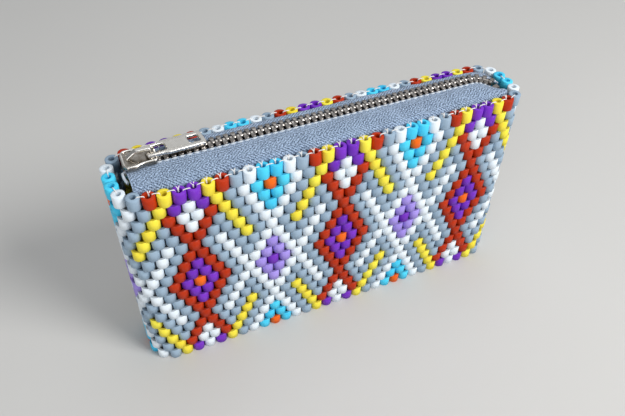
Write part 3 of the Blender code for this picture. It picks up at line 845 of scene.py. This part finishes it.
def sliderLoop(inset=0.0):
    # seen from above, smaller by the inset on every side
    left, length, y = slider["left"], slider["length"], zipLine["y"]
    front = []
    for share, part, half in slider["outline"]:
        shift = {0.0: inset, 1.0: -inset}.get(share, 0)
        front.append((left + share * length + shift, y - part * slider[half] + inset))
    return front + [(x, 2 * y - v) for x, v in reversed(front)]


def moved(item, x=0.0, y=0.0, z=0.0):
    pick(item)
    bpy.ops.transform.translate(value=(x, y, z))
    placeAtOrigin(item)
    return item


def buildSlider(material):
    parts = []
    level = slider["plateInner"] + slider["plate"] / 2
    loop = roundedLoop(sliderLoop(), 1.6 * mm)
    inner = roundedLoop(sliderLoop(slider["rimWidth"]), 1.1 * mm)
    under = plateFrom("sliderPlate", [loop], slider["plate"], slider["round"])
    parts.append(moved(under, z=zipLine["z"] - level))
    # the top is a thinner plate inside a raised, rounded rim
    thin = slider["plate"] - slider["recess"]
    fieldLoop = roundedLoop(sliderLoop(slider["rimWidth"] / 2), 1.2 * mm)
    field = plateFrom("sliderField", [fieldLoop], thin, 0.1 * mm)
    parts.append(moved(field, z=zipLine["z"] + slider["plateInner"] + thin / 2))
    rim = plateFrom("sliderRim", [loop, inner], slider["plate"], slider["rimRound"])
    parts.append(moved(rim, z=zipLine["z"] + level))
    flangeHeight = slider["plateInner"] - slider["slot"] / 2 + slider["plate"] * 0.6
    for side in (-1, 1):
        for end in (1, -1):
            outer = [p for p in sliderLoop() if (p[1] - zipLine["y"]) * side > 0]
            outer = sorted(outer)[1:-1]
            inside = [(x, zipLine["y"] + side * slider["channelHalf"]) for x, _ in reversed(outer)]
            flangeLoop = roundedLoop(outer + inside, 0.3 * mm, 2)
            flange = plateFrom("sliderFlange", [flangeLoop], flangeHeight, 0.18 * mm)
            height = slider["slot"] / 2 + flangeHeight / 2
            parts.append(moved(flange, z=zipLine["z"] + end * height))
    # the post narrows to the right
    x = slider["left"] + 0.2 * mm
    y, half = zipLine["y"], slider["postHalf"]
    postLoop = roundedLoop([(x, y - half), (x + slider["post"] / 2, y - half),
                            (x + slider["post"], y - half / 4), (x + slider["post"], y + half / 4),
                            (x + slider["post"] / 2, y + half), (x, y + half)], 0.4 * mm, 3)
    post = plateFrom("sliderPost", [postLoop], 2 * slider["plateInner"] + slider["plate"], 0.1 * mm)
    parts.append(moved(post, z=zipLine["z"]))
    parts.append(buildBridge())
    body = joinAll(parts, "sliderCasting")
    smooth(body, 40)
    finishPiece(body, material, "slider", ["slider_body"])


def buildBridge():
    # the arch, drawn from the side and laid over the plate
    left = slider["left"] + slider["bridgeLeft"]
    right = left + slider["bridgeLength"]
    foot = zipLine["z"] + slider["plateInner"] + slider["plate"] * 0.5
    under = zipLine["z"] + slider["plateInner"] + slider["plate"] + slider["bridgeOpen"]
    over = under + slider["bridgeThick"]
    bar = slider["bridgeThick"]
    rise = slider["bridgeLength"] * slider["bridgeRise"]
    outline = [(left, foot), (left + bar, foot), (left + rise + 0.35 * mm, under), (right - bar, under),
               (right - bar, foot), (right, foot), (right, over), (left + rise, over),
               (left, foot + bar)]
    loop = roundedLoop(outline, 1.2 * mm, 6)
    bridge = plateFrom("sliderBridge", [loop], slider["bridgeWidth"], 0.38 * mm)
    pick(bridge)
    bridge.matrix_world = (Matrix.Translation((0, zipLine["y"], 0))
                           @ Matrix.Rotation(math.pi / 2, 4, "X"))
    placeAtOrigin(bridge)
    return bridge


def buildPull(material):
    half = pull["width"] / 2
    armOuter = pull["armOuter"]
    armInner = armOuter - pull["arm"]
    eye, end, pin = pull["eye"], pull["length"], pull["pinRadius"]
    outline = [(-pin, -armOuter), (eye * 0.8, -armOuter), (eye, -half), (end, -half)]
    outline += [(x, -y) for x, y in reversed(outline)]
    opening = [(pin * 1.2, -armInner), (eye, -armInner), (eye, armInner), (pin * 1.2, armInner)]
    windowEnd = end - pull["rim"]
    windowHalf = pull["windowWidth"] / 2
    windowStart = windowEnd - pull["window"]
    window = [(windowStart, -windowHalf), (windowEnd, -windowHalf), (windowEnd, windowHalf),
              (windowStart, windowHalf)]
    loops = [roundedLoop(outline, 1.3 * mm, 6), roundedLoop(opening, 0.9 * mm, 4),
             roundedLoop(window, 0.6 * mm, 4)]
    plate = plateFrom("pullPlate", loops, pull["thick"], pull["round"])
    # its bar is round at the pin, it is skewed beyond the eye, and it slopes down onto the teeth
    for vertex in plate.data.vertices:
        x, y, z = vertex.co
        if x < pin * 1.3:
            z *= 2 * pin / pull["thick"]
        if x > eye / 2:
            x, y = (x * math.cos(pull["skew"]) - y * math.sin(pull["skew"]),
                    x * math.sin(pull["skew"]) + y * math.cos(pull["skew"]))
        vertex.co = (x * math.cos(pull["slope"]) + z * math.sin(pull["slope"]) + pull["pinX"],
                     y + zipLine["y"],
                     z * math.cos(pull["slope"]) - x * math.sin(pull["slope"]) + pull["pinZ"])
    plate.name = "stampedPull"
    smooth(plate, 40)
    finishPiece(plate, material, "pull", ["pull_tab"])


buildSlider(castNickel)
buildPull(nickel)
print("slider and pull set")


# Sewing thread

thread = {
    "radius": 0.21 * mm, "colour": (0.88, 0.87, 0.86), "shade": (0.74, 0.73, 0.73),
    # the share of straight stitches that can't be seen, and of holes with two strands into the tape
    "hidden": 0.15, "hiddenAtEnds": 0.5, "veeShare": 0.85, "vee": 0.13, "wander": 0.5 * mm,
}


def threadMaterial():
    shader = Shader("sewingThread")
    twist = shader.add("ShaderNodeTexWave", {"wave_type": "BANDS", "bands_direction": "DIAGONAL"},
                       {"Vector": shader.coords, "Scale": 1800, "Distortion": 2.0, "Detail": 2.0})
    lightness = (twist * 0.7 + 0.3).clamp()
    shader.set(colour=shader.mix(thread["shade"], thread["colour"], lightness), rough=0.75, sheen=0.2)
    shader.bump(twist, 0.00005, 0.8)
    return shader.material


def buildThread():
    deselect()
    curve = bpy.data.curves.new("sewingThread", "CURVE")
    curve.dimensions = "3D"
    curve.bevel_depth = thread["radius"]
    curve.bevel_resolution = 1
    curve.use_fill_caps = True

    def strand(points):
        points = cutCorners(points, 0.2)
        spline = curve.splines.new("POLY")
        spline.points.add(len(points) - 1)
        for point, place in zip(spline.points, points):
            point.co = (*place, 1)

    def at(column, out, lift):
        return wallPoint(column, pouch["height"], out) + Vector((0, 0, lift))

    hole = beads["hole"] / pouch["pitch"]
    lie = thread["radius"] * 0.85
    for n in range(pouch["beadsRound"]):
        # a straight stitch over the two rims that touch, down into a hole at either end
        a, b = n + 0.5, n + 1.5
        out = rng.uniform(-1, 1) * thread["wander"]
        atEnd = abs(at(a + 0.5, 0, 0).x) > pouch["inside"] - 1 * mm
        if rng.random() > thread["hiddenAtEnds" if atEnd else "hidden"]:
            strand([at(a + hole * 1.0, out, -1.2 * mm), at(a + hole * 1.02, out, -0.3 * mm),
                    at(a + hole * 1.2, out, lie), at(b - hole * 1.2, out, lie),
                    at(b - hole * 1.02, out, -0.3 * mm), at(b - hole * 1.0, out, -1.2 * mm)])
        inFront = at(a, 0, 0).y < 0 and abs(at(a, 0, 0).x) < pouch["inside"] - 3 * mm
        if inFront and rng.random() < thread["veeShare"]:
            # two strands from the hole over the inner wall into the tape
            centre = a + rng.uniform(-0.06, 0.06)
            for lean in (-1, 1):
                c, d = centre + lean * 0.02, centre + lean * thread["vee"] * rng.uniform(0.75, 1.2)
                strand([at(c, -0.95 * mm, -1.5 * mm), at(c, -1.1 * mm, -0.3 * mm),
                        at((c + d) / 2, -1.55 * mm, lie), at(d, -2.1 * mm, lie * 0.8),
                        at(d, -2.55 * mm, -1.0 * mm)])
    stitches = meshFromCurve("sewingThread", curve)
    smooth(stitches, 60)
    finishPiece(stitches, threadMaterial(), "pouch")


buildThread()
print("mouth sewn")


# Floor, light and camera

studio = {
    "floor": (0.62, 0.615, 0.60), "world": 0.235, "worldColour": (0.95, 0.97, 1.0, 1),
    # place, size, watts and colour of each lamp, all turned to one target
    "lamps": {
        "keyLamp": ((0.50, -0.66, 0.72), 0.48, 9.4, (1, 0.985, 0.965)),
        "fillLamp": ((-0.9, -0.9, 0.5), 0.9, 4.6, (1, 1, 1)),
        "topLamp": ((0.1, 0.1, 1.2), 0.9, 3.0, (0.95, 0.98, 1)),
        "backPanel": ((0.40, 1.05, 1.05), 1.8, 3.0, (0.97, 0.985, 1)),
    },
    "target": (0, 0, 0.05),
    # the camera fitted to the photo
    "camera": (-88.11 * mm, -179.31 * mm, 234.25 * mm), "lens": 36.512,
    "right": (0.91357, -0.40648, 0.01307), "down": (-0.26913, -0.62835, -0.72989),
    "ahead": (0.30490, 0.66329, -0.68344),
}


def buildFloor():
    deselect()
    bpy.ops.mesh.primitive_plane_add(size=6)
    floor = bpy.context.object
    floor.name = "floor"
    shader = Shader("paleFloor")
    soft = shader.noise(3, 3)
    shader.set(colour=shader.mix(tuple(0.95 * c for c in studio["floor"]), studio["floor"], soft),
               rough=0.8, specular=0.2)
    floor.data.materials.append(shader.material)


def addLamp(name, place, size, power, colour):
    lamp = bpy.data.lights.new(name, "AREA")
    lamp.shape = "DISK"
    lamp.size = size
    lamp.energy = power
    lamp.color = colour
    item = bpy.data.objects.new(name, lamp)
    bpy.context.scene.collection.objects.link(item)
    item.location = place
    aim = Vector(studio["target"]) - Vector(place)
    item.rotation_euler = aim.to_track_quat("-Z", "Y").to_euler()


def buildStudio():
    buildFloor()
    world = bpy.data.worlds.new("softRoom")
    bpy.context.scene.world = world
    world.use_nodes = True
    background = world.node_tree.nodes["Background"]
    background.inputs["Color"].default_value = studio["worldColour"]
    background.inputs["Strength"].default_value = studio["world"]
    for name, (place, size, power, colour) in studio["lamps"].items():
        addLamp(name, place, size, power, colour)
    camera = bpy.data.cameras.new("photoCamera")
    camera.lens = studio["lens"]
    camera.sensor_width = 36
    camera.clip_start = 0.01
    item = bpy.data.objects.new("photoCamera", camera)
    bpy.context.scene.collection.objects.link(item)
    axes = Matrix((Vector(studio["right"]), -Vector(studio["down"]), -Vector(studio["ahead"])))
    turn = axes.transposed().to_4x4()
    item.matrix_world = Matrix.Translation(studio["camera"]) @ turn
    bpy.context.scene.camera = item
    bpy.context.scene.view_settings.view_transform = "Standard"


buildStudio()
print("studio set")
